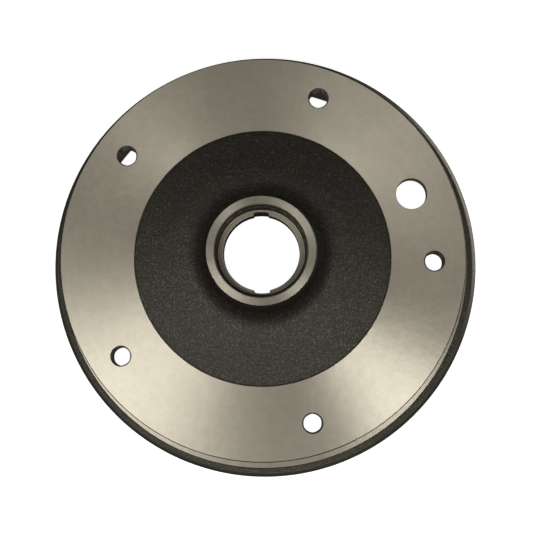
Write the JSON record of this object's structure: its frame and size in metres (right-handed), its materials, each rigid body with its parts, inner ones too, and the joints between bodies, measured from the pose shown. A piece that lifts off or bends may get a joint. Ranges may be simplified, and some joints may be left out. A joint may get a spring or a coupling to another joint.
{
  "type": "brake drum",
  "caption": "Cast-iron front brake drum with its wheel hub in one piece, tapped wheel-bolt holes, an adjuster hole and an inner bearing race.",
  "frame": {"origin": "centre of the open rim's plane, on the wheel axis", "axes": "+Z along the wheel axis towards the hub nose, +X towards the right-hand wheel-bolt hole beside the adjuster hole"},
  "size_m": [0.2626, 0.2626, 0.099],
  "materials": {
    "cast_iron": "turned on the working faces, black rough casting elsewhere",
    "bearing_steel": "ground"
  },
  "bodies": {
    "root": {"drum_casting": "cast_iron", "inner_bearing_cup": "bearing_steel"}
  },
  "joints": []
}
